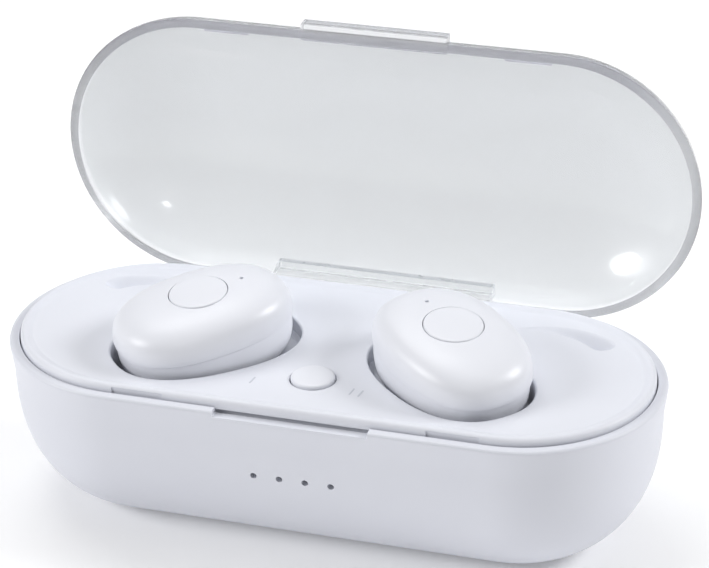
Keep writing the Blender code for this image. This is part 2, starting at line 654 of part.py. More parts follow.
def dome_height(scale, height):
    return height * (1.0 - scale ** BUD_DOME_EXPONENT) ** (1.0 / BUD_DOME_EXPONENT)


def build_outer_shell(word, seat):
    wall = BUD_WALL
    rings = []
    for share in reversed(DOME_SHARES):
        outline = oval((BUD_HALF_LENGTH - wall) * share, (BUD_HALF_WIDTH - wall) * share, 28)
        rings.append(ring_at(outline, dome_height(share, BUD_DOME - wall)))
    for share in DOME_SHARES:
        outline = oval(BUD_HALF_LENGTH * share, BUD_HALF_WIDTH * share, 28)
        rings.append(ring_at(outline, dome_height(share, BUD_DOME)))
    shell = loft("earbud_%s_outer_shell" % word, rings, "white_shell", seat)
    cut(shell, rod("bud_button_hole_" + word, BUD_BUTTON_R + 0.12 * MM, 2.0 * MM, 6.0 * MM,
                   matrix=seat, segments=24))
    cut(shell, rod("mic_hole_" + word, 0.3 * MM, 2.0 * MM, 6.0 * MM, matrix=seat @ at(MIC_U, 0.0), segments=8))


def build_inner_shell(word, seat):
    wall = BUD_WALL
    seam = 0.15 * MM
    depths = (seam, 2.2 * MM, 3.9 * MM, 5.1 * MM, 5.75 * MM, 5.97 * MM)
    rings = []
    for depth in reversed(depths):
        scale = bud_depth_scale(depth)
        rings.append(ring_at(oval(BUD_HALF_LENGTH * scale, BUD_HALF_WIDTH * scale, 28), -depth))
    for depth in (seam, 2.2 * MM, 3.9 * MM, 4.8 * MM, 5.0 * MM):
        scale = bud_depth_scale(depth * 0.96)
        rings.append(ring_at(oval(BUD_HALF_LENGTH * scale - wall, BUD_HALF_WIDTH * scale - wall, 28), -depth))
    shell = loft("earbud_%s_inner_shell" % word, rings, "white_shell", seat)
    nozzle = seat @ nozzle_frame()
    join(shell, rod("nozzle_form_" + word, NOZZLE_R, 0.6 * MM, NOZZLE_LENGTH, matrix=nozzle, segments=16))
    cut(shell, rod("nozzle_bore_" + word, NOZZLE_BORE_R, -1.5 * MM, NOZZLE_LENGTH + MM,
                   matrix=nozzle, segments=14))
    for letter, v in (("a", -CONTACT_V), ("b", CONTACT_V)):
        cut(shell, rod("contact_hole_%s_%s" % (word, letter), 0.75 * MM, -7.0 * MM, -4.0 * MM,
                       matrix=seat @ at(CONTACT_U, v), segments=12))


def build_ear_tip(word, seat):
    section = [(2.0, 7.6), (3.6, 7.4), (5.0, 6.5), (5.8, 5.1), (5.9, 3.9), (5.75, 2.9), (5.35, 2.9),
               (5.45, 4.1), (5.2, 5.2), (4.3, 6.2), (3.4, 6.6), (3.4, 2.6), (2.55, 2.6), (2.55, 6.2),
               (2.0, 6.4)]
    profile = [(r * MM, s * MM) for r, s in section]
    turned("earbud_%s_ear_tip" % word, profile, "silicone", seat @ nozzle_frame(), 20, closed=True)


def build_bud_inside(word, seat):
    rod("earbud_%s_nozzle_mesh" % word, NOZZLE_BORE_R - 0.1 * MM, NOZZLE_LENGTH - 0.7 * MM,
        NOZZLE_LENGTH - 0.35 * MM, "steel", seat @ nozzle_frame(), 14)
    board = oval(8.9 * MM, 5.9 * MM, 20)
    prism("earbud_%s_pcb" % word, board, 0.55 * MM, 1.15 * MM, "board", seat)
    block("earbud_%s_switch" % word, (-1.5 * MM, -1.5 * MM, 1.25 * MM), (1.5 * MM, 1.5 * MM, 2.0 * MM),
          "dark_part", seat)
    rod("earbud_%s_battery" % word, 4.0 * MM, -3.9 * MM, 0.3 * MM, "steel",
        seat @ at(-2.7 * MM, 0.0), 20)
    driver = [(0.0, -3.6 * MM), (2.2 * MM, -3.6 * MM), (3.4 * MM, -3.1 * MM), (3.4 * MM, -1.2 * MM),
              (2.4 * MM, -0.6 * MM), (0.0, -0.6 * MM)]
    turned("earbud_%s_driver" % word, driver, "dark_part", seat @ at(5.1 * MM, 0.0), 18)
    rod("earbud_%s_magnet" % word, 0.9 * MM, -3.8 * MM, -2.3 * MM, "magnet", seat @ at(-7.8 * MM, 0.0), 12)
    for letter, v in (("a", -CONTACT_V), ("b", CONTACT_V)):
        rod("earbud_%s_contact_%s" % (word, letter), 0.6 * MM, -BUD_DEPTH + 0.02 * MM, -4.4 * MM,
            "gold", seat @ at(CONTACT_U, v), 12)


def build_bud_button(word, seat):
    top = BUD_DOME + 0.12 * MM
    profile = [(0.0, 2.25 * MM), (0.9 * MM, 2.25 * MM), (0.9 * MM, 2.9 * MM), (BUD_BUTTON_R, 2.95 * MM),
               (BUD_BUTTON_R, top - 0.5 * MM), (BUD_BUTTON_R - 0.12 * MM, top - 0.22 * MM),
               (BUD_BUTTON_R * 0.6, top - 0.05 * MM), (0.0, top)]
    turned("earbud_%s_button" % word, profile, "white_shell", seat, 24)


def build_earbud(word, side):
    """All pieces of one earbud, parented to an empty at the centre of its seam."""
    seat = seat_frame(side)
    build_outer_shell(word, seat)
    build_inner_shell(word, seat)
    build_ear_tip(word, seat)
    build_bud_inside(word, seat)
    build_bud_button(word, seat)
    centre = bpy.data.objects.new("earbud_%s_centre" % word, None)
    bpy.context.scene.collection.objects.link(centre)
    centre.matrix_world = seat
    for piece in list(bpy.context.scene.objects):
        if piece.type == "MESH" and piece.name.startswith("earbud_%s_" % word):
            piece.parent = centre
            piece.matrix_parent_inverse = seat.inverted()


def main():
    clear_scene()
    build_base_shell()
    build_tray()
    build_lid()
    build_hinge_pin()
    build_case_board()
    build_board_screws()
    build_leds()
    build_usb_port()
    build_battery()
    build_case_button()
    build_pogo_pins()
    for word, side in (("left", -1), ("right", 1)):
        build_earbud(word, side)


main()
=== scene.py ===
"""Looks for a wireless earbuds charging case: white shell, clear lid, two seated earbuds.

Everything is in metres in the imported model's frame: +X right, +Y to the hinge, +Z up,
with the case standing on z = 0. Fine pieces are built from the same few driving sizes
as the solids they stand for, and each one rides on that solid's body.
"""

import json
import math

import bmesh
import bpy
from mathutils import Matrix, Vector


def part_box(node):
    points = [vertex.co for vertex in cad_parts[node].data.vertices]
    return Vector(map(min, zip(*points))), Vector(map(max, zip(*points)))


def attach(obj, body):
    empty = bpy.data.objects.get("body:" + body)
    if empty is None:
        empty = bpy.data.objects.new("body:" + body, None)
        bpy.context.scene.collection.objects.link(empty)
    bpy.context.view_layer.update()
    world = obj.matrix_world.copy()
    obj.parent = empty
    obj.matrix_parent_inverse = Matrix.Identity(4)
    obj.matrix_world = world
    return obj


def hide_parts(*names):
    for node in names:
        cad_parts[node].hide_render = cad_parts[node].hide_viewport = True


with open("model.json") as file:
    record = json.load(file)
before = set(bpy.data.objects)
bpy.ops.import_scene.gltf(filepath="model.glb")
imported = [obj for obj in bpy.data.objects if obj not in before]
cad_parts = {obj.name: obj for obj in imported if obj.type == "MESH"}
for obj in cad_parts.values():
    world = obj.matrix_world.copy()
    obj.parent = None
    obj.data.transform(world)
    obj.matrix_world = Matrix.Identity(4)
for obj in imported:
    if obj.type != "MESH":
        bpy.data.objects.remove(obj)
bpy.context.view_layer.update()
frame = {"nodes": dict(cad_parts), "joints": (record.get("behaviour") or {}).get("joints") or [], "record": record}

MM = 0.001
JOINTS = {joint["name"]: joint for joint in frame["joints"]}

# ---- Sizes read from the frame --------------------------------------------------------
case_low, case_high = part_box("base_shell")
RIM = case_high.z
HALF_LENGTH = case_high.x
HALF_WIDTH = -case_low.y
TRAY_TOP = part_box("tray")[1].z
HINGE = Vector(JOINTS["lid_hinge"]["pos_m"])
LID_ANGLE = math.radians(JOINTS["lid_hinge"]["range_deg"][1])

# ---- Driving sizes: case --------------------------------------------------------------
SIDE_DRAFT = 0.45 * MM
STRAIGHT_DEPTH = 3.5 * MM
HULL_EXPONENT = 2.45
HULL_DEPTH = 18.0 * MM
HULL_INSET = 16.6 * MM
SHELL_WALL = 1.5 * MM
RIM_LAND = 1.25 * MM
RIM_ROUND = 0.42 * MM
LEDGE_DEPTH = 1.6 * MM
LEDGE_WIDTH = 0.9 * MM
FIT_GAP = 0.15 * MM
NOTCH_DROP = 0.72 * MM
TAB_HALF_LENGTH = 9.05 * MM
LED_PITCH = 3.1 * MM
LED_Z = RIM - 8.12 * MM
LED_HOLE_R = 0.4 * MM
CASE_BUTTON_Y = -7.85 * MM
CASE_BUTTON_R = 2.6 * MM

# ---- Driving sizes: tray --------------------------------------------------------------
TRAY_INSET = RIM_LAND + FIT_GAP
TRAY_FACE = RIM + 0.62 * MM
TRAY_ROUND = 0.6 * MM
LIP_WIDTH = 1.1 * MM
POCKET_HALF = (11.5 * MM, 8.05 * MM)
POCKET_ROUND = 0.28 * MM
POCKET_FLOOR = 6.35 * MM
WELL_R = 6.7 * MM
WELL_U = 4.5 * MM
WELL_FLOOR = 13.2 * MM
SCOOP_CENTRE_X = HALF_LENGTH - HALF_WIDTH
SCOOP_INNER_R = 10.5 * MM
SCOOP_WIDTH = 3.1 * MM
SCOOP_DEPTH = 1.9 * MM
SCOOP_START = math.radians(104.0)
SCOOP_END = math.radians(41.0)
SCOOP_WALL = 0.7 * MM
SNAP_NOTCH_X = (15.7 * MM, 21.9 * MM)
SNAP_NOTCH_DEPTH = 0.16 * MM
CUP_WALL = 0.9 * MM
CUP_BEND = 0.6 * MM
PIN_HOLE_R = 0.95 * MM
BUTTON_GAP = 0.13 * MM

# ---- Driving sizes: lid and hinge -------------------------------------------------------
LID_LOW = RIM + FIT_GAP
LID_HEIGHT = 9.8 * MM
LID_WALL = 1.15 * MM
LID_EXPONENT = 1.9
RIB_REACH = 0.3 * MM
BORE_R = 0.58 * MM
TAB_REACH = 1.05 * MM
TAB_DROP = 0.6 * MM
KNUCKLE_R = 1.2 * MM
KNUCKLE_HALF_LENGTH = 14.1 * MM
EAR_OUTER_X = 17.4 * MM
SIDE_GAP = 0.3 * MM
PAD_THICKNESS = 0.75 * MM
PAD_HEIGHT = 4.3 * MM

# ---- Driving sizes: earbuds -------------------------------------------------------------
BUD_YAW = math.radians(42.0)
BUD_HALF = (10.9 * MM, 7.85 * MM)
BUD_PLAN_EXPONENT = 2.35
BUD_DOME = 4.6 * MM
BUD_DOME_EXPONENT = 3.2
BUD_DEPTH = 6.0 * MM
BUD_BELLY_EXPONENT = 3.4
BUD_BELLY_SHARE = 0.975
BUD_WALL = 1.0 * MM
BUD_SEAM = 0.09 * MM
BUD_BUTTON_R = 3.5 * MM
BUD_BUTTON_GAP = 0.09 * MM
BATTERY_U = -2.7 * MM
BATTERY_W = -1.8 * MM
MIC_U = -5.6 * MM
MIC_R = 0.26 * MM
NOZZLE_U = 5.6 * MM
NOZZLE_R = 2.4 * MM
NOZZLE_BORE_R = 1.5 * MM
NOZZLE_TILT = math.radians(14.0)
NOZZLE_START = 4.6 * MM
NOZZLE_LENGTH = 6.0 * MM
CONTACT_U = -6.0 * MM
CONTACT_V = 2.3 * MM
CONTACT_HOLE_R = 0.75 * MM

# ---- Camera -----------------------------------------------------------------------------
VIEW_AZIMUTH = math.radians(17.1)
VIEW_ELEVATION = math.radians(27.47)
VIEW_ROLL = math.radians(-0.97)
VIEW_DISTANCE = 311.5 * MM
VIEW_TARGET = Vector((2.81 * MM, 0.0, RIM + 9.41 * MM))
VIEW_LENS = 135.7
FLOOR_GLOW = 0.1

# ---- Fineness ---------------------------------------------------------------------------
END_SEGMENTS = 64
STRAIGHT_SEGMENTS = 28
BUD_SEGMENTS = 144
ROUND_SEGMENTS = 64
SMALL_SEGMENTS = 32
SHARP_ANGLE = 32.0
MERGE_DISTANCE = 0.0004 * MM

SIDES = {"left": -1.0, "right": 1.0}


# ======== Procedural materials ===========================================================
def node_at(tree, kind, **values):
    node = tree.nodes.new(kind)
    for socket, value in values.items():
        node.inputs[socket.replace("_", " ")].default_value = value
    return node


def speckle(tree, scale, detail=2.0):
    """Noise in the object's own metres, so its grain keeps one size on every piece."""
    place = tree.nodes.new("ShaderNodeTexCoord")
    noise = node_at(tree, "ShaderNodeTexNoise", Scale=scale, Detail=detail)
    tree.links.new(place.outputs["Object"], noise.inputs["Vector"])
    return noise


def ranged(tree, source, low, high, span=(0.3, 0.7)):
    spread = tree.nodes.new("ShaderNodeMapRange")
    spread.inputs["From Min"].default_value = span[0]
    spread.inputs["From Max"].default_value = span[1]
    spread.inputs["To Min"].default_value = low
    spread.inputs["To Max"].default_value = high
    tree.links.new(source, spread.inputs["Value"])
    return spread.outputs["Result"]


def moulded(name, colour, shade, roughness, grain=2600.0, bump=0.02, metallic=0.0):
    """Moulded or machined surface: slow colour drift, uneven polish and a fine skin texture."""
    material = bpy.data.materials.new(name)
    material.use_nodes = True
    tree = material.node_tree
    shader = tree.nodes["Principled BSDF"]
    shader.inputs["Metallic"].default_value = metallic
    drift = speckle(tree, 90.0, 3.0)
    share = ranged(tree, drift.outputs["Fac"], 0.0, 1.0)
    tree.links.new(blend_colours(tree, share, colour, shade), shader.inputs["Base Color"])
    polish = speckle(tree, 420.0, 4.0)
    tree.links.new(ranged(tree, polish.outputs["Fac"], roughness[0], roughness[1]),
                   shader.inputs["Roughness"])
    skin = speckle(tree, grain, 2.0)
    relief = node_at(tree, "ShaderNodeBump", Strength=bump, Distance=0.05 * MM)
    tree.links.new(skin.outputs["Fac"], relief.inputs["Height"])
    tree.links.new(relief.outputs["Normal"], shader.inputs["Normal"])
    return material


def blend_colours(tree, share, first, second):
    """Colour mix by a share; either colour may be a value or another node's output."""
    mix = tree.nodes.new("ShaderNodeMix")
    mix.data_type = "RGBA"
    tree.links.new(share, mix.inputs["Factor"])
    for key, colour in (("A", first), ("B", second)):
        if isinstance(colour, tuple):
            mix.inputs[key].default_value = (*colour, 1.0)
        else:
            tree.links.new(colour, mix.inputs[key])
    return mix.outputs["Result"]


def combined(tree, operation, first, second):
    """One step of arithmetic; the second side may be a plain number."""
    step = tree.nodes.new("ShaderNodeMath")
    step.operation = operation
    tree.links.new(first, step.inputs[0])
    if isinstance(second, float):
        step.inputs[1].default_value = second
    else:
        tree.links.new(second, step.inputs[1])
    return step.outputs["Value"]


def pad_share(tree, axes):
    """1 on the frosted pad and knuckle under the lid's hinge edge, which are also painted a darker shade; 0 on the
    clear walls.
    """
    half = KNUCKLE_HALF_LENGTH
    aside = combined(tree, "ABSOLUTE", axes.outputs["X"], 0.0)
    along = ranged(tree, aside, 1.0, 0.0, (half - 0.4 * MM, half - 0.1 * MM))
    below = ranged(tree, axes.outputs["Z"], 1.0, 0.0, (HINGE.z + 0.80 * MM, HINGE.z + 0.86 * MM))
    return combined(tree, "MULTIPLY", along, below)


def clear_plastic(name, tint, roughness):
    """Clear plastic that bends light, and lets lamps through so the case under it stays lit.

    Painted light and shade on its open rim: it is painted paler than the walls at the sides and on the tab,
    standing in for the light the rim gathers, and painted greyer along the front as shade.
    """
    material = bpy.data.materials.new(name)
    material.use_nodes = True
    tree = material.node_tree
    shader = tree.nodes["Principled BSDF"]
    shader.inputs["Transmission Weight"].default_value = LID_CLEARNESS
    shader.inputs["IOR"].default_value = LID_IOR
    shader.inputs["Coat Weight"].default_value = LID_GLOW
    shader.inputs["Coat Roughness"].default_value = LID_GLOW_ROUGHNESS
    rim = HINGE.y + LID_LOW - HINGE.z
    place = tree.nodes.new("ShaderNodeTexCoord")
    axes = tree.nodes.new("ShaderNodeSeparateXYZ")
    tree.links.new(place.outputs["Object"], axes.inputs["Vector"])
    painted_rim_share = ranged(tree, axes.outputs["Y"], 1.0, 0.0, (rim + 0.15 * MM, rim + 0.9 * MM))
    front_shade_share = ranged(tree, axes.outputs["Z"], 0.0, 1.0, (RIM + 22.0 * MM, RIM + 30.0 * MM))
    tab_glow_share = ranged(tree, axes.outputs["Z"], 0.0, 1.0, (RIM + 32.4 * MM, RIM + 32.7 * MM))
    # Painted light on the rim's sides and tab and painted shade along its front, mixed into the lid's colour near
    # the rim.
    painted_rim_light = blend_colours(tree, front_shade_share, RIM_PAINTED_GLOW, RIM_PAINTED_SHADE)
    painted_rim_light = blend_colours(tree, tab_glow_share, painted_rim_light, RIM_PAINTED_GLOW)
    tint_with_painted_rim = blend_colours(tree, painted_rim_share, tint, painted_rim_light)
    on_pad = pad_share(tree, axes)
    # Painted shade: the pad and knuckle take a darker colour, standing in for the shaded band under the hinge
    # edge.
    tree.links.new(blend_colours(tree, on_pad, tint_with_painted_rim, PAD_PAINTED_SHADE), shader.inputs["Base Color"])
    polish = speckle(tree, 300.0, 3.0)
    wall_polish = ranged(tree, polish.outputs["Fac"], roughness[0], roughness[1])
    tree.links.new(combined(tree, "ADD", wall_polish, combined(tree, "MULTIPLY", on_pad, PAD_FROST)),
                   shader.inputs["Roughness"])
    passing = tree.nodes.new("ShaderNodeBsdfTransparent")
    passing.inputs["Color"].default_value = (*[math.sqrt(c) for c in tint], 1.0)
    path = tree.nodes.new("ShaderNodeLightPath")
    either = tree.nodes.new("ShaderNodeMixShader")
    tree.links.new(path.outputs["Is Shadow Ray"], either.inputs["Fac"])
    tree.links.new(shader.outputs["BSDF"], either.inputs[1])
    tree.links.new(passing.outputs["BSDF"], either.inputs[2])
    tree.links.new(either.outputs["Shader"], tree.nodes["Material Output"].inputs["Surface"])
    return material


# Painted shade: the case shell takes a darker copy of the tray's white, standing in for the shade on its front
# wall.
CASE_WHITE_PAINTED_SHADE = (0.708, 0.722, 0.782)
CASE_DRIFT_PAINTED_SHADE = (0.696, 0.710, 0.772)
WHITE = (0.750, 0.765, 0.822)
WHITE_SHADE = (0.738, 0.753, 0.812)
BUD_WHITE = (0.790, 0.802, 0.852)
BUD_SHADE = (0.778, 0.791, 0.843)
LID_TINT = (0.74, 0.755, 0.77)
LID_CLEARNESS = 0.78
LID_IOR = 1.3
LID_GLOW = 0.35
LID_GLOW_ROUGHNESS = 0.26
# Painted light and painted shade for the lid's open rim.
RIM_PAINTED_GLOW = (0.97, 0.97, 0.99)
RIM_PAINTED_SHADE = (0.74, 0.735, 0.80)
# Painted shade for the lid's hinge pad and knuckle.
PAD_PAINTED_SHADE = (0.66, 0.68, 0.69)
PAD_FROST = 0.35
MATERIALS = {
    "case_white": moulded("case_white", CASE_WHITE_PAINTED_SHADE, CASE_DRIFT_PAINTED_SHADE, (0.40, 0.44), 3200.0, 0.004),
    "tray_white": moulded("tray_white", WHITE, WHITE_SHADE, (0.42, 0.46), 3200.0, 0.004),
    "button_white": moulded("button_white", BUD_WHITE, BUD_SHADE, (0.36, 0.40), 3200.0, 0.003),
    "earbud_white": moulded("earbud_white", BUD_WHITE, BUD_SHADE, (0.33, 0.36), 3200.0, 0.003),
    "clear_lid": clear_plastic("clear_lid", LID_TINT, (0.09, 0.12)),
    "silicone": moulded("silicone", (0.78, 0.79, 0.82), (0.74, 0.75, 0.78), (0.50, 0.62), 1800.0, 0.08),
    "steel": moulded("steel", (0.62, 0.62, 0.64), (0.55, 0.55, 0.57), (0.22, 0.38), 5200.0, 0.05, 1.0),
    "gold": moulded("gold", (0.86, 0.62, 0.26), (0.78, 0.54, 0.20), (0.18, 0.30), 5200.0, 0.04, 1.0),
    "board": moulded("board", (0.035, 0.18, 0.09), (0.02, 0.12, 0.06), (0.35, 0.50), 3400.0, 0.10),
    "battery_foil": moulded("battery_foil", (0.62, 0.63, 0.65), (0.50, 0.51, 0.53), (0.30, 0.45),
                            900.0, 0.25, 0.9),
    "foam": moulded("foam", (0.05, 0.05, 0.055), (0.03, 0.03, 0.035), (0.85, 0.97), 2400.0, 0.6),
    "wire_red": moulded("wire_red", (0.55, 0.02, 0.02), (0.45, 0.02, 0.02), (0.35, 0.50)),
    "wire_black": moulded("wire_black", (0.025, 0.025, 0.028), (0.04, 0.04, 0.045), (0.35, 0.50)),
    "led_lens": moulded("led_lens", (0.10, 0.10, 0.12), (0.07, 0.07, 0.085), (0.15, 0.25)),
    "magnet": moulded("magnet", (0.55, 0.55, 0.57), (0.48, 0.48, 0.50), (0.15, 0.30), 4200.0, 0.05, 1.0),
    "dark_part": moulded("dark_part", (0.045, 0.045, 0.05), (0.03, 0.03, 0.035), (0.40, 0.55), 2600.0, 0.2),
    "mark_grey": moulded("mark_grey", (0.60, 0.62, 0.68), (0.56, 0.58, 0.64), (0.35, 0.45)),
}


# ======== Mesh helpers ===================================================================
def to_object(name, bm, matrix=None):
    bmesh.ops.remove_doubles(bm, verts=bm.verts, dist=MERGE_DISTANCE)
    bmesh.ops.recalc_face_normals(bm, faces=bm.faces)
    mesh = bpy.data.meshes.new(name)
    bm.to_mesh(mesh)
    bm.free()
    smooth(mesh)
    thing = bpy.data.objects.new(name, mesh)
    bpy.context.scene.collection.objects.link(thing)
    if matrix is not None:
        mesh.transform(matrix)
    return thing


def smooth(mesh, sharp=SHARP_ANGLE):
    mesh.shade_smooth()
    mesh.set_sharp_from_angle(angle=math.radians(sharp))


def combine(target, tools, operation):
    """Apply one exact Boolean with several separate tools, then drop the tools."""
    gathered = bmesh.new()
    for tool in tools:
        gathered.from_mesh(tool.data)
        bpy.data.objects.remove(tool, do_unlink=True)
    mesh = bpy.data.meshes.new("tools")
    gathered.to_mesh(mesh)
    gathered.free()
    tool = bpy.data.objects.new("tools", mesh)
    bpy.context.scene.collection.objects.link(tool)
    modifier = target.modifiers.new("combine", "BOOLEAN")
    modifier.operation = operation
    modifier.object = tool
    graph = bpy.context.evaluated_depsgraph_get()
    made = bpy.data.meshes.new_from_object(target.evaluated_get(graph))
    target.modifiers.clear()
    target.data = made
    bpy.data.objects.remove(tool, do_unlink=True)


def settle(piece, body, kind, nodes, sharp=SHARP_ANGLE):
    """Give a finished piece its shading, material and body, and hide the solids it stands for."""
    smooth(piece.data, sharp)
    even = piece.modifiers.new("even_normals", "WEIGHTED_NORMAL")
    even.keep_sharp = True
    even.weight = 60
    piece.data.materials.clear()
    piece.data.materials.append(MATERIALS[kind])
    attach(piece, body)
    if nodes:
        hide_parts(*nodes)


def stadium(half_length, half_width):
    """Straight sides and half-round ends, evenly divided, anticlockwise from the right end."""
    straight = half_length - half_width
    points = []
    for end in (1, -1):
        for step in range(END_SEGMENTS):
            angle = math.pi * (step / END_SEGMENTS - 0.5)
            points.append((end * (straight + half_width * math.cos(angle)),
                           end * half_width * math.sin(angle)))
        for step in range(STRAIGHT_SEGMENTS):
            x = straight * (1.0 - 2.0 * step / STRAIGHT_SEGMENTS)
            points.append((end * x, end * half_width))
    return points


def case_ring(inset, z):
    return [(x, y, z) for x, y in stadium(HALF_LENGTH - inset, HALF_WIDTH - inset)]


def loft(name, rings):
    """Skin rings of equal count and cap both ends."""
    bm = bmesh.new()
    loops = [[bm.verts.new(point) for point in ring] for ring in rings]
    count = len(loops[0])
    for lower, upper in zip(loops, loops[1:]):
        for i in range(count):
            j = (i + 1) % count
            bm.faces.new((lower[i], lower[j], upper[j], upper[i]))
    bm.faces.new(list(reversed(loops[0])))
    bm.faces.new(loops[-1])
    return to_object(name, bm)


def turned(name, profile, matrix=None, segments=ROUND_SEGMENTS, closed=False):
    """Turn (radius, height) pairs about local Z; a point on the axis closes the end."""
    bm = bmesh.new()
    rings = []
    for radius, height in profile:
        if radius < 1e-8:
            rings.append([bm.verts.new((0.0, 0.0, height))])
            continue
        ring = []
        for k in range(segments):
            angle = 2.0 * math.pi * k / segments
            ring.append(bm.verts.new((radius * math.cos(angle), radius * math.sin(angle), height)))
        rings.append(ring)
    pairs = list(zip(rings, rings[1:]))
    if closed:
        pairs.append((rings[-1], rings[0]))
    for first, second in pairs:
        for k in range(segments):
            m = (k + 1) % segments
            corners = [first[k % len(first)], first[m % len(first)],
                       second[m % len(second)], second[k % len(second)]]
            unique = list(dict.fromkeys(corners))
            if len(unique) > 2:
                bm.faces.new(unique)
    return to_object(name, bm, matrix)


def rod(name, radius, low, high, matrix=None, segments=ROUND_SEGMENTS, edge=0.0):
    """Round bar along local Z, with rounded rims if edge is given."""
    profile = [(0.0, low)]
    if edge > 0.0:
        profile += arc((radius - edge, low + edge), edge, -90.0, 0.0, 5)
        profile += arc((radius - edge, high - edge), edge, 0.0, 90.0, 5)
    else:
        profile += [(radius, low), (radius, high)]
    profile.append((0.0, high))
    return turned(name, profile, matrix, segments)


def arc(centre, radius, start, end, steps):
    """Points on a circle, angles in degrees, measured from the first axis to the second."""
    points = []
    for step in range(steps + 1):
        angle = math.radians(start + (end - start) * step / steps)
        points.append((centre[0] + radius * math.cos(angle), centre[1] + radius * math.sin(angle)))
    return points


def block(name, low, high, matrix=None, edge=0.0, steps=4):
    """Box between two corners with all its edges rounded if asked."""
    bm = bmesh.new()
    bmesh.ops.create_cube(bm, size=1.0)
    bmesh.ops.scale(bm, vec=[b - a for a, b in zip(low, high)], verts=bm.verts)
    bmesh.ops.translate(bm, vec=[(a + b) / 2.0 for a, b in zip(low, high)], verts=bm.verts)
    if edge > 0.0:
        bmesh.ops.bevel(bm, geom=list(bm.edges), offset=edge, segments=steps, affect="EDGES", profile=0.5)
    return to_object(name, bm, matrix)


def along_x(y, z):
    return Matrix.Translation((0.0, y, z)) @ Matrix.Rotation(math.pi / 2.0, 4, "Y")


def along_y(x, z):
    return Matrix.Translation((x, 0.0, z)) @ Matrix.Rotation(-math.pi / 2.0, 4, "X")


def at(x, y, z=0.0):
    return Matrix.Translation((x, y, z))


def power(value, exponent):
    return math.copysign(abs(value) ** exponent, value)


def oval(half_length, half_width, segments=BUD_SEGMENTS):
    points = []
    for step in range(segments):
        angle = 2.0 * math.pi * step / segments
        points.append((half_length * power(math.cos(angle), 2.0 / BUD_PLAN_EXPONENT),
                       half_width * power(math.sin(angle), 2.0 / BUD_PLAN_EXPONENT)))
    return points


def eased(share):
    """Smooth rise from 0 to 1, level at both ends."""
    return share * share * (3.0 - 2.0 * share)


def crown(edge, top, steps):
    """Low crown of a button: profile points from its rounded edge in to its axis."""
    points = []
    for step in range(1, steps + 1):
        share = step / steps
        points.append((edge[0] * (1.0 - share), edge[1] + (top - edge[1]) * (1.0 - (1.0 - share) ** 2)))
    return points


# ======== Case body ======================================================================
def hull_inset(z):
    below = RIM - z
    if below <= STRAIGHT_DEPTH:
        return SIDE_DRAFT * below / STRAIGHT_DEPTH
    share = min((below - STRAIGHT_DEPTH) / HULL_DEPTH, 1.0)
    drawn = 1.0 - (1.0 - share ** HULL_EXPONENT) ** (1.0 / HULL_EXPONENT)
    return SIDE_DRAFT + HULL_INSET * drawn


def build_base_shell():
    rings = []
    levels = 44
    crowding = 1.6  # above 1, so the levels lie closer together toward the underside
    for step in range(levels):
        z = (RIM - RIM_ROUND) * (step / levels) ** crowding
        rings.append(case_ring(hull_inset(z), z))
    top_inset = hull_inset(RIM - RIM_ROUND)
    for inset, z in arc((top_inset + RIM_ROUND, RIM - RIM_ROUND), RIM_ROUND, 180.0, 90.0, 7):
        rings.append(case_ring(inset, z))
    inner_edge = 0.08 * MM
    for inset, z in arc((RIM_LAND - inner_edge, RIM - inner_edge), inner_edge, 90.0, 0.0, 3):
        rings.append(case_ring(inset, z))
    ledge = RIM - LEDGE_DEPTH
    rings.append(case_ring(RIM_LAND, ledge))
    rings.append(case_ring(RIM_LAND + LEDGE_WIDTH, ledge))
    inner_levels = (0.85, 0.66, 0.5, 0.36, 0.24, 0.15, 0.075)
    for share in inner_levels:
        rings.append(case_ring(hull_inset(RIM * share) + SHELL_WALL, RIM * share))
    shell = loft("case_shell", rings)

    half = KNUCKLE_HALF_LENGTH + SIDE_GAP
    ears = []
    for side in (-1, 1):
        turn = along_x(HINGE.y, HINGE.z) @ Matrix.Scale(side, 4, (0, 0, 1))
        ears.append(rod("ear", KNUCKLE_R, half, EAR_OUTER_X, turn, edge=0.15 * MM))
    combine(shell, ears, "UNION")

    tools = []
    notch_low = (-half, HINGE.y - KNUCKLE_R - 0.5 * MM, HINGE.z - KNUCKLE_R - 0.35 * MM)
    notch_high = (half, HALF_WIDTH + 3.0 * MM, RIM + 3.0 * MM)
    tools.append(block("hinge_notch", notch_low, notch_high, edge=0.2 * MM))
    notch = TAB_HALF_LENGTH + 0.2 * MM
    tools.append(block("thumb_notch", (-notch, -HALF_WIDTH - 2.0 * MM, RIM - NOTCH_DROP),
                       (notch, -HALF_WIDTH + RIM_LAND + 0.05 * MM, RIM + 2.0 * MM), edge=0.18 * MM))
    for index in range(4):
        x = (index - 1.5) * LED_PITCH
        tools.append(rod("led_hole", LED_HOLE_R, -HALF_WIDTH - 2.0 * MM, -HALF_WIDTH + 3.0 * MM,
                         along_y(x, LED_Z), SMALL_SEGMENTS))
    usb_low, usb_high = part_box("usb_port")
    margin = 0.35 * MM
    tools.append(block("usb_opening", (usb_low.x - margin, usb_low.y, usb_low.z - margin),
                       (usb_high.x + margin, HALF_WIDTH + 2.0 * MM, usb_high.z + margin), edge=0.5 * MM))
    combine(shell, tools, "DIFFERENCE")
    round_notch_edges(shell)
    settle(shell, "base", "case_white", ["base_shell"])


def round_notch_edges(shell):
    """Soften the outer edge of the thumb notch's floor, like the rim beside it."""
    softening = 0.11 * MM
    floor = RIM - NOTCH_DROP
    for vertex in shell.data.vertices:
        place = vertex.co
        on_floor = abs(place.z - floor) < 0.02 * MM and abs(place.x) < TAB_HALF_LENGTH
        if on_floor and place.y < -HALF_WIDTH + 0.2 * MM:
            place.y += softening


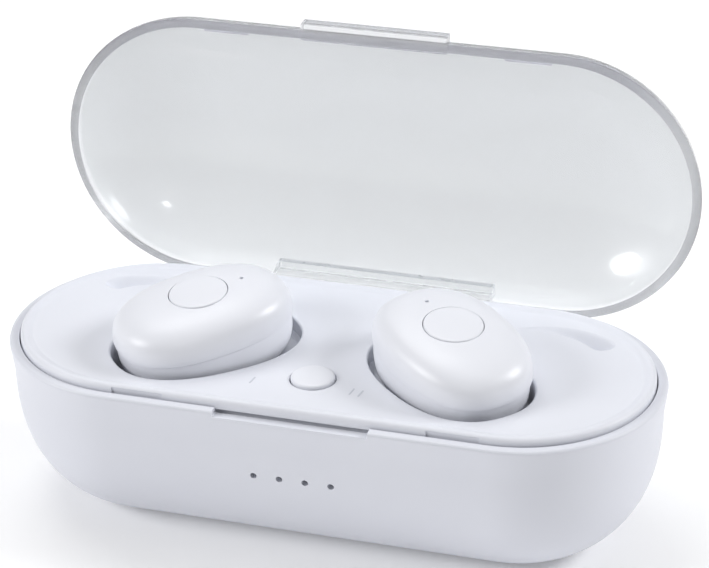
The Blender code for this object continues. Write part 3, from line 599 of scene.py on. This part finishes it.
# ======== Seat of an earbud ===============================================================
def seat_frame(word):
    """U along the oval, W out of the face; the battery's place gives the seam's centre."""
    out = Vector(JOINTS["earbud_%s_lift" % word]["axis"]).normalized()
    length = Vector((SIDES[word] * math.cos(BUD_YAW), -math.sin(BUD_YAW), 0.0))
    length = (length - out * length.dot(out)).normalized()
    width = out.cross(length)
    low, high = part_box("earbud_%s_battery" % word)
    centre = (low + high) / 2.0 - length * BATTERY_U - out * BATTERY_W
    return Matrix.Translation(centre) @ Matrix((length, width, out)).transposed().to_4x4()


def seat_ring(seat, half_u, half_v, w, segments=BUD_SEGMENTS):
    """An oval across the seat's axis, w outward of the earbud's seam."""
    return [seat @ Vector((u, v, w)) for u, v in oval(half_u, half_v, segments)]


def level_ring(seat, outline, z):
    """An outline in the seat's plane, slid along the seat's axis to one level."""
    out = seat.to_3x3() @ Vector((0.0, 0.0, 1.0))
    ring = []
    for u, v in outline:
        place = seat @ Vector((u, v, 0.0))
        ring.append(place + out * ((z - place.z) / out.z))
    return ring


# ======== Tray ===========================================================================
def pocket_tool(seat):
    """Pocket with a rounded mouth; its walls run along the earbud's own axis."""
    half_u, half_v = POCKET_HALF
    rings = [seat_ring(seat, half_u - CUP_BEND, half_v - CUP_BEND, -POCKET_FLOOR),
             seat_ring(seat, half_u, half_v, -POCKET_FLOOR + CUP_BEND)]
    for offset, z in arc((POCKET_ROUND, TRAY_FACE - POCKET_ROUND), POCKET_ROUND, 180.0, 90.0, 6):
        rings.append(level_ring(seat, oval(half_u + offset, half_v + offset), z))
    mouth = oval(half_u + POCKET_ROUND, half_v + POCKET_ROUND)
    rings.append(level_ring(seat, mouth, TRAY_FACE + 3.0 * MM))
    return loft("pocket_tool", rings)


def scoop_run(run):
    """Depth and the inner and outer radius of a finger scoop, run being 0 at its thin end."""
    swell = min(run / 0.8, 1.0) ** 0.8
    close = max(0.0, (run - 0.88) / 0.12)
    tip = math.sqrt(max(1.0 - close ** 2, 0.0004))
    width = max(SCOOP_WIDTH * swell, 0.12 * MM)
    depth = max(SCOOP_DEPTH * min(run / 0.85, 1.0) ** 1.5 * tip, 0.03 * MM)
    middle = SCOOP_INNER_R + width * 0.5
    return depth, middle - width * 0.5 * tip, middle + width * 0.5 * tip


def scoop_loft(name, side, section):
    """Sweep a cross-section of (radius, height) pairs along the scoop's arc."""
    steps = 48
    sections = []
    for step in range(steps + 1):
        run = step / steps
        angle = SCOOP_START + (SCOOP_END - SCOOP_START) * run
        sections.append([(side * (SCOOP_CENTRE_X + radius * math.cos(angle)), radius * math.sin(angle),
                          TRAY_FACE + height) for radius, height in section(*scoop_run(run))])
    return loft(name, sections)


def scoop_hollow(depth, inner, outer):
    """Steep inner wall with a rounded rim, then a floor that rises softly to the outer edge."""
    width = outer - inner
    lip = min(0.3 * MM, width * 0.25)
    shape = [(inner - lip, 2.0 * MM), (inner - lip, 0.02 * MM)]
    shape += arc((inner - lip, -lip), lip, 85.0, 8.0, 5)
    shape.append((inner + width * 0.04, -max(depth * 0.72, lip * 1.02)))
    shape.append((inner + width * 0.12, -max(depth * 0.94, lip * 1.04)))
    for part in range(9):
        share = part / 8.0
        ease = eased(share)
        height = -max(depth, lip * 1.06) * (1.0 - ease) + 0.03 * MM * ease
        shape.append((inner + width * (0.24 + 0.76 * share), height))
    shape.append((outer + 0.1 * MM, 2.0 * MM))
    return shape


def scoop_pad(depth, inner, outer):
    """Extra plastic under the plate, so that the scoop doesn't break through it."""
    wall = SCOOP_WALL
    top = RIM - 0.5 * MM - TRAY_FACE
    bottom = min(-depth - wall, top - 0.3 * MM)
    return [(inner - wall, top), (inner - wall, bottom), (outer, bottom), (outer + wall, top)]


def build_tray():
    skirt = RIM - LEDGE_DEPTH + FIT_GAP
    plate_low = RIM - 0.9 * MM
    lip_in = TRAY_INSET + LIP_WIDTH
    rings = [case_ring(lip_in + 1.0 * MM, plate_low), case_ring(lip_in, skirt), case_ring(TRAY_INSET, skirt)]
    lip_top = TRAY_TOP - 0.04 * MM
    for inset, z in arc((TRAY_INSET + TRAY_ROUND, lip_top - TRAY_ROUND), TRAY_ROUND, 180.0, 90.0, 8):
        rings.append(case_ring(inset, z))
    fall = 1.0 * MM
    for step in range(1, 9):
        share = step / 8.0
        z = lip_top + (TRAY_FACE - lip_top) * eased(share)
        rings.append(case_ring(TRAY_INSET + TRAY_ROUND + fall * share, z))
    tray = loft("tray_top", rings)

    seats = {word: seat_frame(word) for word in ("left", "right")}
    cups, wells, pads, tools, deep = [], [], [], [], []
    for word, seat in seats.items():
        half_u, half_v = POCKET_HALF
        wall = CUP_WALL
        cup_low = seat_ring(seat, half_u + wall, half_v + wall, -POCKET_FLOOR - wall, ROUND_SEGMENTS)
        cup_high = level_ring(seat, oval(half_u + wall, half_v + wall, ROUND_SEGMENTS), plate_low + 0.4 * MM)
        cups.append(loft("cup", [cup_low, cup_high]))
        well_axis = seat @ at(WELL_U, 0.0)
        wells.append(rod("well", WELL_R + wall, -WELL_FLOOR - wall, -POCKET_FLOOR, well_axis))
        tools.append(pocket_tool(seat))
        deep.append(rod("well_hole", WELL_R, -WELL_FLOOR, -POCKET_FLOOR + 1.0 * MM, well_axis,
                        edge=0.5 * MM))
        for v in (-CONTACT_V, CONTACT_V):
            place = seat @ Vector((CONTACT_U, v, -BUD_DEPTH))
            deep.append(rod("pin_hole", PIN_HOLE_R, -7.0 * MM, 1.2 * MM, at(*place), SMALL_SEGMENTS))
        side = SIDES[word]
        tools.append(scoop_loft("scoop", side, scoop_hollow))
        pads.append(scoop_loft("scoop_pad", side, scoop_pad))
        edges = sorted((side * SNAP_NOTCH_X[0], side * SNAP_NOTCH_X[1]))
        front = -HALF_WIDTH + TRAY_INSET
        tools.append(block("snap_notch", (edges[0], front - 1.0 * MM, RIM - 0.4 * MM),
                           (edges[1], front + SNAP_NOTCH_DEPTH, TRAY_FACE), edge=0.06 * MM, steps=2))
    combine(tray, cups, "UNION")
    combine(tray, wells, "UNION")
    combine(tray, pads, "UNION")
    ring_gap = CASE_BUTTON_R + BUTTON_GAP
    bend = 0.12 * MM
    mouth = [(0.0, -4.0 * MM), (ring_gap, -4.0 * MM)]
    mouth += [(ring_gap + bend - bend * math.cos(a), -bend + bend * math.sin(a))
              for a in (0.0, 0.4, 0.8, 1.2, math.pi / 2.0)]
    mouth += [(ring_gap + bend, 2.0 * MM), (0.0, 2.0 * MM)]
    tools.append(turned("button_hole", mouth, at(0.0, CASE_BUTTON_Y, TRAY_FACE)))
    recess = TAB_HALF_LENGTH + 0.2 * MM
    tools.append(block("tab_recess", (-recess, -HALF_WIDTH, skirt - MM),
                       (recess, -HALF_WIDTH + TRAY_INSET + 0.45 * MM, RIM - 0.3 * MM)))
    relief = EAR_OUTER_X + SIDE_GAP
    tools.append(block("hinge_relief", (-relief, HINGE.y - KNUCKLE_R - 0.3 * MM, RIM - 4.0 * MM),
                       (relief, HALF_WIDTH + 2.0 * MM, HINGE.z + KNUCKLE_R + 0.2 * MM)))
    combine(tray, tools, "DIFFERENCE")
    combine(tray, deep, "DIFFERENCE")
    settle(tray, "base", "tray_white", ["tray"])


def build_marks():
    """Two plain side marks beside the button: one slanted bar, and a pair of them."""
    bars = []
    for x, y in ((-6.7 * MM, -10.0 * MM), (5.2 * MM, -9.6 * MM), (6.3 * MM, -9.75 * MM)):
        lean = Matrix.Translation((x, y, TRAY_FACE)) @ Matrix.Rotation(math.radians(-8.0), 4, "Z")
        bars.append(block("bar", (-0.11 * MM, -0.75 * MM, -0.1 * MM), (0.11 * MM, 0.75 * MM, 0.03 * MM),
                          lean, edge=0.02 * MM, steps=1))
    marks = bars.pop()
    bm = bmesh.new()
    bm.from_mesh(marks.data)
    for bar in bars:
        bm.from_mesh(bar.data)
        bpy.data.objects.remove(bar, do_unlink=True)
    bm.to_mesh(marks.data)
    bm.free()
    marks.name = "side_marks"
    settle(marks, "base", "mark_grey", [])


def build_case_button():
    low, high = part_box("case_button")
    top = high.z
    r = CASE_BUTTON_R
    round_r = 0.32 * MM
    stem_r, flange_r = 1.0 * MM, 3.3 * MM
    flange_low, flange_high = RIM - 2.2 * MM, RIM - 1.5 * MM
    profile = [(0.0, low.z), (stem_r, low.z), (stem_r, flange_low), (flange_r, flange_low),
               (flange_r, flange_high), (r, flange_high)]
    profile += arc((r - round_r, top - 0.1 * MM - round_r), round_r, 0.0, 72.0, 7)
    profile += crown(profile[-1], top, 8)
    button = turned("case_push_button", profile, at(0.0, CASE_BUTTON_Y))
    settle(button, "case_button", "button_white", ["case_button"])


# ======== Lid ============================================================================
def lid_ring(inset, height, angle):
    """One dome ring: angle runs from the edge (0) to the crown (90 degrees)."""
    half_width = HALF_WIDTH - inset
    share = math.sin(angle)
    drawn = half_width * (1.0 - (1.0 - share ** LID_EXPONENT) ** (1.0 / LID_EXPONENT))
    outline = stadium(HALF_LENGTH - inset - drawn, half_width - drawn)
    return [(x, y, LID_LOW + height * share) for x, y in outline]


def open_lid():
    pivot = Matrix.Translation(HINGE)
    return pivot @ Matrix.Rotation(-LID_ANGLE, 4, "X") @ pivot.inverted()


def build_lid():
    steps = 40
    top = math.radians(87.6)
    edge = 0.1 * MM
    rings = []
    for step in range(steps):
        rings.append(lid_ring(0.0, LID_HEIGHT, top * (1.0 - step / steps)))
    for inset, z in arc((edge, LID_LOW + edge), edge, 180.0, 270.0, 3):
        rings.append(case_ring(inset, z))
    for inset, z in arc((LID_WALL - edge, LID_LOW + edge), edge, -90.0, 0.0, 3):
        rings.append(case_ring(inset, z))
    for step in range(2, steps + 1):
        rings.append(lid_ring(LID_WALL, LID_HEIGHT - LID_WALL, top * step / steps))
    lid = loft("clear_cover", rings)

    front = -HALF_WIDTH
    tab_low = (-TAB_HALF_LENGTH, front - TAB_REACH, LID_LOW - TAB_DROP)
    tab_high = (TAB_HALF_LENGTH, front + LID_WALL - 0.03 * MM, LID_LOW + 1.1 * MM)
    parts = [block("tab", tab_low, tab_high, edge=0.16 * MM)]
    for side in (-1, 1):
        edges = sorted((side * (SNAP_NOTCH_X[0] + 0.2 * MM), side * (SNAP_NOTCH_X[1] - 0.3 * MM)))
        rib_low = (edges[0], front + LID_WALL - 0.2 * MM, LID_LOW + 0.08 * MM)
        rib_high = (edges[1], front + LID_WALL + RIB_REACH, LID_LOW + 0.36 * MM)
        parts.append(block("rib", rib_low, rib_high, edge=0.08 * MM, steps=2))
    combine(lid, parts, "UNION")
    half = KNUCKLE_HALF_LENGTH
    web = block("web", (-half, HALF_WIDTH - LID_WALL + 0.02 * MM, HINGE.z),
                (half, HALF_WIDTH + PAD_THICKNESS, LID_LOW + PAD_HEIGHT), edge=0.15 * MM)
    combine(lid, [web], "UNION")
    axis = along_x(HINGE.y, HINGE.z)
    knuckle = rod("knuckle", KNUCKLE_R, -half, half, axis, edge=0.12 * MM)
    combine(lid, [knuckle], "UNION")
    bore = rod("bore", BORE_R, -half - MM, half + MM, axis, SMALL_SEGMENTS)
    combine(lid, [bore], "DIFFERENCE")
    lid.data.transform(open_lid())
    settle(lid, "lid", "clear_lid", ["lid_shell"])


# ======== Earbuds ========================================================================
def dome_ring(seat, half, height, angle):
    share = math.cos(angle) ** (2.0 / BUD_DOME_EXPONENT)
    rise = height * math.sin(angle) ** (2.0 / BUD_DOME_EXPONENT)
    return seat_ring(seat, half[0] * share, half[1] * share, rise)


def build_outer_shell(word, seat):
    steps = 34
    top = math.radians(89.0)
    wall = BUD_WALL
    inner_half = (BUD_HALF[0] - wall, BUD_HALF[1] - wall)
    lift = 0.01 * MM
    rings = [dome_ring(seat, inner_half, BUD_DOME - wall, top * (1.0 - step / 10.0)) for step in range(10)]
    rings.append(seat_ring(seat, *inner_half, lift))
    rings.append(seat_ring(seat, BUD_HALF[0] - BUD_SEAM, BUD_HALF[1] - BUD_SEAM, lift))
    for step in range(1, steps + 1):
        rings.append(dome_ring(seat, BUD_HALF, BUD_DOME, top * (step / steps) ** 1.15))
    shell = loft("earbud_%s_face" % word, rings)
    tools = [rod("button_hole", BUD_BUTTON_R + BUD_BUTTON_GAP, 2.0 * MM, 6.0 * MM, seat, 96),
             rod("mic_hole", MIC_R, 3.95 * MM, 6.0 * MM, seat @ at(MIC_U, 0.0), SMALL_SEGMENTS)]
    combine(shell, tools, "DIFFERENCE")
    settle(shell, "earbud_" + word, "earbud_white", ["earbud_%s_outer_shell" % word])


def belly_share(depth):
    share = min(depth / BUD_DEPTH, 1.0)
    return BUD_BELLY_SHARE * (1.0 - share ** BUD_BELLY_EXPONENT) ** (1.0 / BUD_BELLY_EXPONENT)


def belly_ring(seat, share, inset, w):
    return seat_ring(seat, BUD_HALF[0] * share - inset, BUD_HALF[1] * share - inset, w)


def build_inner_shell(word, seat):
    steps = 26
    rings = []
    for step in range(steps):
        depth = BUD_DEPTH * math.sin(math.radians(86.0) * (1.0 - step / steps)) ** 0.8
        rings.append(belly_ring(seat, belly_share(depth), 0.0, -depth))
    for inset, w in ((0.0, -0.12 * MM), (0.07 * MM, -0.02 * MM)):
        rings.append(belly_ring(seat, belly_share(0.1 * MM), inset, w))
    for depth in (0.02 * MM, 2.2 * MM, 3.9 * MM, 4.8 * MM, 5.0 * MM):
        rings.append(belly_ring(seat, belly_share(depth * 0.96), BUD_WALL, -depth))
    shell = loft("earbud_%s_belly" % word, rings)
    nozzle = seat @ nozzle_frame()
    combine(shell, [rod("nozzle", NOZZLE_R, 0.6 * MM, NOZZLE_LENGTH, nozzle, 48, edge=0.25 * MM)], "UNION")
    tools = [rod("bore", NOZZLE_BORE_R, -1.5 * MM, NOZZLE_LENGTH + MM, nozzle, 48)]
    for v in (-CONTACT_V, CONTACT_V):
        tools.append(rod("contact_hole", CONTACT_HOLE_R, -7.0 * MM, -4.0 * MM,
                         seat @ at(CONTACT_U, v), SMALL_SEGMENTS))
    combine(shell, tools, "DIFFERENCE")
    settle(shell, "earbud_" + word, "earbud_white", ["earbud_%s_inner_shell" % word])


def nozzle_frame():
    return at(NOZZLE_U, 0.0, -NOZZLE_START) @ Matrix.Rotation(math.pi + NOZZLE_TILT, 4, "Y")


def build_ear_tip(word, seat):
    """Silicone tip: a soft mushroom over a sleeve that grips the nozzle."""
    cap = [(2.0, 7.6), (2.6, 7.66), (3.6, 7.4), (4.4, 6.98), (5.0, 6.5), (5.5, 5.85), (5.8, 5.1),
           (5.9, 4.4), (5.9, 3.9), (5.84, 3.3), (5.72, 2.95), (5.52, 2.86), (5.36, 2.95)]
    underside = [(5.4, 3.4), (5.45, 4.1), (5.38, 4.7), (5.2, 5.2), (4.8, 5.75), (4.3, 6.2), (3.85, 6.45)]
    sleeve = [(3.4, 6.6), (3.36, 4.6), (3.4, 2.75), (3.3, 2.62), (2.65, 2.6), (2.55, 2.7), (2.55, 6.2),
              (2.0, 6.4)]
    profile = [(radius * MM, height * MM) for radius, height in cap + underside + sleeve]
    tip = turned("earbud_%s_tip" % word, profile, seat @ nozzle_frame(), 72, closed=True)
    settle(tip, "earbud_" + word, "silicone", ["earbud_%s_ear_tip" % word], sharp=50.0)


def build_face_button(word, seat):
    top = BUD_DOME + 0.12 * MM
    r = BUD_BUTTON_R
    round_r = 0.2 * MM
    profile = [(0.0, 2.25 * MM), (0.9 * MM, 2.25 * MM), (0.9 * MM, 2.9 * MM), (r, 2.95 * MM)]
    profile += arc((r - round_r, top - 0.06 * MM - round_r), round_r, 0.0, 80.0, 7)
    profile += crown(profile[-1], top, 6)
    button = turned("earbud_%s_push" % word, profile, seat, 96)
    settle(button, "earbud_%s_button" % word, "button_white", ["earbud_%s_button" % word])


def build_earbuds():
    for word in ("left", "right"):
        seat = seat_frame(word)
        build_outer_shell(word, seat)
        build_inner_shell(word, seat)
        build_ear_tip(word, seat)
        build_face_button(word, seat)


# ======== Solids kept as they are ========================================================
def dress_kept_nodes():
    """Every solid that still shows takes the procedural material of its record slot."""
    slots = {part["node"]: part["material_slot"] for part in frame["record"]["subparts"]}
    for name, node in frame["nodes"].items():
        node.data.materials.clear()
        node.data.materials.append(MATERIALS[slots[name]])


# ======== Stage ==========================================================================
def build_floor():
    bm = bmesh.new()
    bmesh.ops.create_grid(bm, x_segments=2, y_segments=2, size=6.0)
    floor = to_object("studio_floor", bm)
    material = bpy.data.materials.new("studio_floor")
    material.use_nodes = True
    shader = material.node_tree.nodes["Principled BSDF"]
    shader.inputs["Base Color"].default_value = (0.96, 0.96, 0.965, 1.0)
    shader.inputs["Roughness"].default_value = 0.7
    shader.inputs["Specular IOR Level"].default_value = 0.2
    shader.inputs["Emission Color"].default_value = (1.0, 1.0, 1.0, 1.0)
    shader.inputs["Emission Strength"].default_value = FLOOR_GLOW
    floor.data.materials.append(material)


def softbox(name, place, target, size, power_watts):
    lamp = bpy.data.lights.new(name, "AREA")
    lamp.shape = "ELLIPSE"
    lamp.size = size[0]
    lamp.size_y = size[1]
    lamp.energy = power_watts
    thing = bpy.data.objects.new(name, lamp)
    bpy.context.scene.collection.objects.link(thing)
    thing.location = place
    aim = Vector(target) - Vector(place)
    thing.rotation_euler = aim.to_track_quat("-Z", "Y").to_euler()


# Name, place, target and size in metres, and power in watts.
LAMPS = (
    ("top_softbox", (0.0, 0.05, 0.75), (0.0, 0.0, 0.0), (0.7, 0.5), 0.75),
    ("rear_softbox", (-0.25, 0.25, 0.70), (0.0, 0.0, 0.0), (0.5, 0.4), 1.48),
    ("left_softbox", (-0.62, -0.34, 0.40), (0.0, 0.0, 0.02), (0.42, 0.26), 2.96),
    ("right_softbox", (0.66, 0.22, 0.50), (0.0, 0.0, 0.02), (0.35, 0.30), 3.8),
    ("spark_softbox", (0.20, -0.62, 0.45), (0.0, 0.02, 0.03), (0.07, 0.05), 0.2),
)


def build_lights():
    world = bpy.data.worlds.new("studio")
    bpy.context.scene.world = world
    world.use_nodes = True
    world.node_tree.nodes["Background"].inputs["Color"].default_value = (1.0, 1.0, 1.0, 1.0)
    world.node_tree.nodes["Background"].inputs["Strength"].default_value = 0.25
    for lamp in LAMPS:
        softbox(*lamp)


def build_camera():
    back = Vector((math.sin(VIEW_AZIMUTH) * math.cos(VIEW_ELEVATION),
                   -math.cos(VIEW_AZIMUTH) * math.cos(VIEW_ELEVATION), math.sin(VIEW_ELEVATION)))
    level = Vector((math.cos(VIEW_AZIMUTH), math.sin(VIEW_AZIMUTH), 0.0))
    up = back.cross(level)
    right = level * math.cos(VIEW_ROLL) + up * math.sin(VIEW_ROLL)
    up = back.cross(right)
    camera = bpy.data.objects.new("camera", bpy.data.cameras.new("camera"))
    bpy.context.scene.collection.objects.link(camera)
    turn = Matrix((right, up, back)).transposed().to_4x4()
    camera.matrix_world = Matrix.Translation(VIEW_TARGET + back * VIEW_DISTANCE) @ turn
    camera.data.lens = VIEW_LENS
    camera.data.sensor_width = 36.0
    camera.data.clip_start = 0.01
    camera.data.clip_end = 50.0
    bpy.context.scene.camera = camera


bpy.context.scene.view_settings.view_transform = "Standard"
build_camera()
build_floor()
build_lights()
dress_kept_nodes()
build_base_shell()
build_tray()
build_marks()
build_case_button()
build_lid()
build_earbuds()
